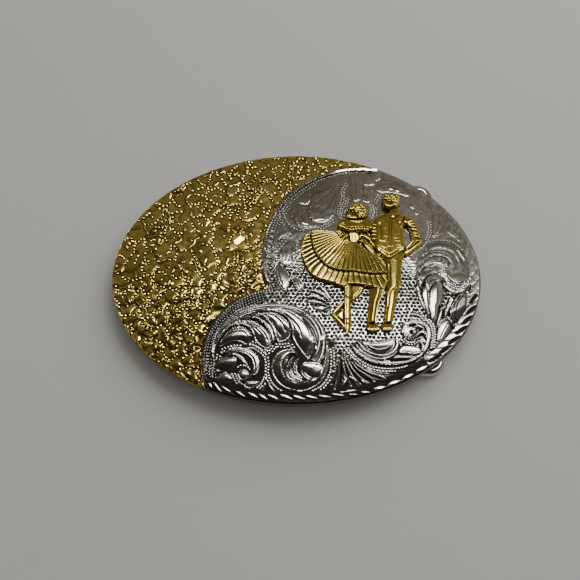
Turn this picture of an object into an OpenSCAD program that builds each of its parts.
// Western trophy belt buckle: a dished oval plate with a gold nugget overlay and a silver scroll
// overlay on its face, a cast pair of square dancers, and a belt post and a swivel bail on its back.
// Frame: +Z up out of the face, +X towards the bail end, origin on the surface that the buckle
// lies on, under the centre of the oval. It stands on the post's tip, the bail bracket and the bail.

/* [Oval plate] */
// Length of the oval, end to end
oval_l = 89; // [84:0.5:96]
// Width of the oval
oval_w = 66; // [60:0.5:70]
// Thickness of the base plate
base_t = 1.2; // [1:0.1:1.4]
// Thickness of the two face overlays
face_t = 0.9; // [0.7:0.1:1.1]
// Radius of the dish, back face
dish_r = 277.9; // [250:0.1:320]
// Height of the back face over the surface below, at the centre
back_h = 6.3; // [6.2:0.05:6.5]
// Width of the seam between the gold and the silver overlay
seam_w = 0.1; // [0.05:0.05:0.2]

/* [Rope border of the silver overlay] */
// Width of the border
rope_w = 2.6; // [2:0.1:3]
// How far the border stands proud of the overlay
rope_h = 0.25; // [0.1:0.05:0.4]

/* [Belt post] */
// Distance of the post from the centre, towards the gold end
post_x = 27; // [24:0.5:30]
// Radius of the post
post_r = 1.6; // [1.4:0.1:1.8]
// Radius of the soldered foot
post_foot_r = 3.6; // [3:0.1:4]
// Thickness of the soldered foot
post_foot_t = 0.8; // [0.6:0.1:1]

/* [Bail] */
// Radius of the bail wire
wire_r = 1.2; // [1.1:0.05:1.3]
// Inside width of the bail, for a 45 mm belt
bail_in = 47; // [46:0.1:47.5]
// Distance of the hinge axis from the centre
hinge_x = 15.5; // [14:0.5:17]
// Height of the hinge axis over the surface below
hinge_z = 2.3; // [2.3:0.05:2.4]
// Reach of the bail, hinge axis to the middle of the outer bar
bail_reach = 18.3; // [17.5:0.1:18.8]
// Sideways position of the bail in its tube
bail_shift = 1.2; // [-1.2:0.1:1.2]

/* [Bail bracket] */
// Outer radius of the tube
tube_r = 2.3; // [2.2:0.05:2.3]
// Running clearance of the wire in the tube
tube_play = 0.06; // [0.04:0.01:0.08]
// Length of the tube
tube_l = 42; // [38:0.5:42]
// Width of the soldered strip
strip_w = 8; // [7:0.5:10]
// Thickness of the soldered strip
strip_t = 0.8; // [0.6:0.1:1]

/* [Dancers] */
// How far the skirt stands proud of the overlay at the waist
skirt_h = 1.9; // [1.6:0.1:2.2]
// How far the skirt's hem stands proud
hem_h = 1.15; // [0.9:0.05:1.4]
// Number of pleats around the skirt
pleats = 26; // [20:1:32]

/* [Hidden] */
gap = 0.02;                       // soldered faces stand this far apart
a = oval_l / 2;
b = oval_w / 2;
cz = back_h - dish_r;             // height of the dish's centre of curvature
r_back = dish_r;                  // back face
r_mid = dish_r + base_t;          // face of the base plate
r_top = dish_r + base_t + face_t; // face of the overlays

// height of a dish of radius r over a point in plan
function on_dish(r, x, y) = cz + sqrt(r * r - x * x - y * y);

// an oval outline, inset by d
module oval(d = 0) {
    n = 120;
    polygon([for (i = [0:n - 1]) [(a - d) * cos(i * 360 / n), (b - d) * sin(i * 360 / n)]]);
}

// a dished layer between the radii r0 and r1, about the centre of curvature
module dish(r0, r1) {
    rotate_extrude($fn = 144)
        intersection() {
            difference() {
                translate([0, cz]) circle(r = r1, $fn = 1440);
                translate([0, cz]) circle(r = r0, $fn = 1440);
            }
            translate([0, -8]) square([56, 40]);
        }
}

// everything under a dish of radius r1, down to the surface below
module under(r1) {
    rotate_extrude($fn = 144)
        intersection() {
            translate([0, cz]) circle(r = r1, $fn = 1440);
            translate([0, -8]) square([56, 40]);
        }
}

// The silver field in plan: two scallops cut its edge against the gold.
// columns: centre x, centre y, radius
scallops = [
    [17.0, 4.0, 25.3],
    [-4.5, -22.5, 17.5]
];
module silver_field(d = 0) {
    for (s = scallops) translate([s[0], s[1]]) circle(r = s[2] + d, $fn = 180);
    translate([17, -40]) square([40, 69.2]);
    translate([0, -40]) square([20, 25]);
}

module base_plate() {
    color([0.62, 0.62, 0.6])
    intersection() {
        linear_extrude(height = 20) oval();
        dish(r_back, r_mid);
    }
}

module nugget_overlay() {
    color([0.8, 0.62, 0.18])
    difference() {
        intersection() {
            linear_extrude(height = 20) oval(0.15);
            dish(r_mid + gap, r_top);
        }
        translate([0, 0, -1]) linear_extrude(height = 22) silver_field(seam_w);
    }
}

module scroll_overlay() {
    color([0.75, 0.75, 0.73])
    union() {
        intersection() {
            linear_extrude(height = 20) intersection() { oval(0.15); silver_field(); }
            dish(r_mid + gap, r_top);
        }
        intersection() {
            linear_extrude(height = 20)
                intersection() { difference() { oval(0.15); oval(rope_w); } silver_field(-0.4); }
            dish(r_top - 0.1, r_top + rope_h);
        }
    }
}

// Skirt of the dancer, as a fan about the waist: hem and tier seam against the angle.
waist = [13.6, 7.8];
// columns: angle, radius of the hem, radius of the tier seam
fan = [
    [167, 10.4, 9.6], [178, 11.8, 10.0], [191, 12.7, 10.1], [201, 13.4, 10.1],
    [211, 13.6, 10.1], [221, 14.0, 10.1], [230, 14.0, 10.0], [241, 13.4, 9.8],
    [254, 12.7, 9.3], [267, 12.5, 9.0], [281, 12.8, 9.5], [292, 14.3, 10.4],
    [299, 15.2, 11.1], [306, 15.8, 11.8], [311, 15.4, 12.2], [317, 12.6, 12.4],
    [323, 9.9, 9.8]
];
fan_a0 = fan[0][0];
fan_a1 = fan[len(fan) - 1][0];
function hem_at(t) = lookup(t, [for (f = fan) [f[0], f[1]]]);
function tier_at(t) = lookup(t, [for (f = fan) [f[0], min(f[2], f[1] - 0.8)]]);

// Rings of the skirt from waist to hem: share of the way to the tier seam and on to the hem, height, pleat depth
// columns: share to the seam, share from the seam to the hem, height, pleat depth
rings = [
    [0.10, 0.0, skirt_h, 0.05],
    [0.55, 0.0, skirt_h - 0.1, 0.15],
    [0.99, 0.0, hem_h + 0.45, 0.25],
    [1.00, 0.02, hem_h + 0.1, 0.10],
    [1.00, 0.50, hem_h + 0.15, 0.20],
    [1.00, 1.00, hem_h - 0.1, 0.25]
];
function ring_r(g, t) = tier_at(t) * g[0] + (hem_at(t) - tier_at(t)) * g[1];
function ring_pt(g, t, up) =
    let (r = ring_r(g, t), x = waist[0] + r * cos(t), y = waist[1] + r * sin(t))
    [x, y, on_dish(r_top, x, y) + (up ? g[2] + g[3] * cos((t - fan_a0) / (fan_a1 - fan_a0) * pleats * 360) : -0.4)];

module skirt() {
    m = pleats * 4;
    n = len(rings);
    ts = [for (i = [0:m]) fan_a0 + (fan_a1 - fan_a0) * i / m];
    top = [for (t = ts) for (g = rings) ring_pt(g, t, true)];
    bot = [for (t = ts) for (g = rings) ring_pt(g, t, false)];
    k = len(top);
    polyhedron(
        points = concat(top, bot),
        faces = concat(
            [for (i = [0:m - 1]) for (j = [0:n - 2]) each
                [[i * n + j, (i + 1) * n + j, i * n + j + 1], [i * n + j + 1, (i + 1) * n + j, (i + 1) * n + j + 1]]],
            [for (i = [0:m - 1]) for (j = [0:n - 2]) each
                [[k + i * n + j, k + i * n + j + 1, k + (i + 1) * n + j], [k + i * n + j + 1, k + (i + 1) * n + j + 1, k + (i + 1) * n + j]]],
            [for (i = [0:m - 1]) each
                [[i * n, k + i * n, (i + 1) * n], [(i + 1) * n, k + i * n, k + (i + 1) * n],
                 [i * n + n - 1, (i + 1) * n + n - 1, k + i * n + n - 1], [(i + 1) * n + n - 1, k + (i + 1) * n + n - 1, k + i * n + n - 1]]],
            [for (j = [0:n - 2]) each
                [[j, j + 1, k + j], [j + 1, k + j + 1, k + j],
                 [m * n + j, k + m * n + j, m * n + j + 1], [m * n + j + 1, k + m * n + j, k + m * n + j + 1]]]
        )
    );
}

// Limbs and bodies of the two dancers, each a tapered round between two ends.
// columns: x, y, radius of one end, x, y, radius of the other end, height of the axis over the overlay
limbs = [
    // her head, hair knot, neck
    [15.9, 15.7, 1.85, 15.5, 15.3, 1.8, 0.7],
    [13.8, 14.7, 1.1, 14.2, 15.0, 1.1, 0.7],
    [15.2, 13.8, 0.8, 15.0, 12.6, 0.9, 0.9],
    // her bodice, puffed sleeves and arm
    [12.6, 11.5, 1.5, 17.0, 11.7, 1.5, 0.6],
    [14.3, 10.6, 1.9, 14.1, 7.9, 1.1, 0.5],
    [11.2, 11.2, 1.4, 11.4, 10.8, 1.3, 0.4],
    [18.4, 11.3, 1.2, 18.0, 10.6, 1.1, 0.5],
    [10.6, 10.0, 0.6, 9.5, 8.3, 0.5, 0.7],
    [9.6, 8.2, 0.5, 11.4, 7.2, 0.5, 1.0],
    // her standing leg and foot
    [12.3, -4.0, 1.0, 12.2, -10.5, 0.75, 0.4],
    [12.2, -10.5, 0.75, 12.0, -14.2, 0.5, 0.4],
    [12.0, -14.2, 0.55, 11.6, -15.9, 0.45, 0.3],
    // her crossed leg and foot
    [14.9, -4.4, 1.0, 12.4, -7.6, 0.8, 0.2],
    [12.4, -7.6, 0.8, 9.1, -10.7, 0.6, 0.2],
    [9.1, -11.0, 0.6, 11.4, -15.0, 0.5, 0.2],
    // his head, neck
    [24.3, 18.6, 1.95, 24.2, 17.9, 1.9, 0.7],
    [24.2, 16.0, 1.0, 24.0, 14.0, 1.2, 0.7],
    // his shoulders, chest and waist
    [20.8, 13.0, 1.5, 26.8, 12.9, 1.5, 0.6],
    [21.6, 11.0, 1.9, 22.1, 5.2, 1.7, 0.4],
    [25.0, 11.0, 1.9, 24.0, 5.2, 1.8, 0.4],
    // his arm round her, and the arm on his hip
    [19.6, 12.2, 1.2, 18.4, 7.4, 0.8, 0.3],
    [28.0, 12.3, 1.3, 29.3, 8.4, 0.9, 0.5],
    [29.4, 7.9, 0.8, 26.4, 4.7, 0.7, 0.5],
    // his legs and boots
    [23.6, 3.2, 1.7, 23.9, -4.0, 1.3, 0.3],
    [23.9, -4.0, 1.3, 21.8, -12.4, 1.0, 0.3],
    [21.6, -13.0, 1.0, 20.9, -14.4, 0.8, 0.3],
    [19.5, -2.0, 1.4, 17.7, -12.4, 1.05, 0.2],
    [17.5, -13.0, 1.0, 16.8, -14.6, 0.7, 0.2]
];
module limb(l) {
    hull() {
        translate([l[0], l[1], on_dish(r_top, l[0], l[1]) + l[6]]) sphere(r = l[2], $fn = 18);
        translate([l[3], l[4], on_dish(r_top, l[3], l[4]) + l[6]]) sphere(r = l[5], $fn = 18);
    }
}

module dancers() {
    color([0.83, 0.62, 0.12])
    difference() {
        union() {
            skirt();
            for (l = limbs) limb(l);
        }
        under(r_top + gap);
    }
}

// Belt post: a straight round peg square to the plate, with a domed tip
module belt_post() {
    tilt = asin(post_x / r_back);
    // distance along the peg from the back face to the middle of the domed tip
    reach = (on_dish(r_back, post_x, 0) - post_r) / cos(tilt);
    color([0.6, 0.6, 0.58])
    difference() {
        translate([0, 0, cz]) rotate([0, -tilt, 0]) {
            translate([0, 0, r_back - reach]) cylinder(r = post_r, h = reach + 0.5, $fn = 96);
            translate([0, 0, r_back - reach]) sphere(r = post_r, $fn = 96);
            translate([0, 0, r_back - post_foot_t]) cylinder(r = post_foot_r, h = post_foot_t + 0.5, $fn = 96);
        }
        dish(r_back - gap, r_back + 6);
    }
}

// Bail bracket: a tube on a soldered strip
module bail_bracket() {
    color([0.6, 0.6, 0.58])
    difference() {
        translate([hinge_x, 0, 0]) {
            translate([0, 0, hinge_z]) rotate([90, 0, 0]) cylinder(r = tube_r, h = tube_l, center = true, $fn = 64);
            translate([-1.5, -tube_l / 2, hinge_z]) cube([3, tube_l, back_h - hinge_z]);
            intersection() {
                translate([-strip_w / 2, -tube_l / 2, 0]) cube([strip_w, tube_l, back_h]);
                translate([-hinge_x, 0, 0]) dish(r_back - strip_t, r_back + 1);
            }
        }
        dish(r_back - gap, r_back + 6);
        translate([hinge_x, 0, hinge_z]) rotate([90, 0, 0])
            cylinder(r = wire_r + tube_play, h = tube_l + 2, center = true, $fn = 64);
    }
}

// Bail: a closed loop of round wire, from the hinge axis to the outer bar, lying on the surface below
module bail() {
    half = bail_in / 2 + wire_r;      // middle of a side arm
    rin = 2.2;                        // bend radius at the hinge
    rout = 2.6;                       // bend radius at the outer corners
    drop = asin((hinge_z - wire_r) / bail_reach);
    color([0.72, 0.72, 0.7])
    translate([hinge_x, bail_shift, hinge_z]) rotate([0, drop, 0]) {
        rotate([90, 0, 0]) cylinder(r = wire_r, h = 2 * (half - rin), center = true, $fn = 48);
        translate([bail_reach, 0, 0]) rotate([90, 0, 0]) cylinder(r = wire_r, h = 2 * (half - rout), center = true, $fn = 48);
        for (s = [-1, 1]) {
            translate([rin, s * half, 0]) rotate([0, 90, 0]) cylinder(r = wire_r, h = bail_reach - rin - rout, $fn = 48);
            translate([rin, s * (half - rin), 0]) rotate([0, 0, s > 0 ? 90 : 180])
                rotate_extrude(angle = 90, $fn = 96) translate([rin, 0]) circle(r = wire_r, $fn = 48);
            translate([bail_reach - rout, s * (half - rout), 0]) rotate([0, 0, s > 0 ? 0 : -90])
                rotate_extrude(angle = 90, $fn = 96) translate([rout, 0]) circle(r = wire_r, $fn = 48);
        }
    }
}

base_plate();
nugget_overlay();
scroll_overlay();
dancers();
belt_post();
bail_bracket();
bail();
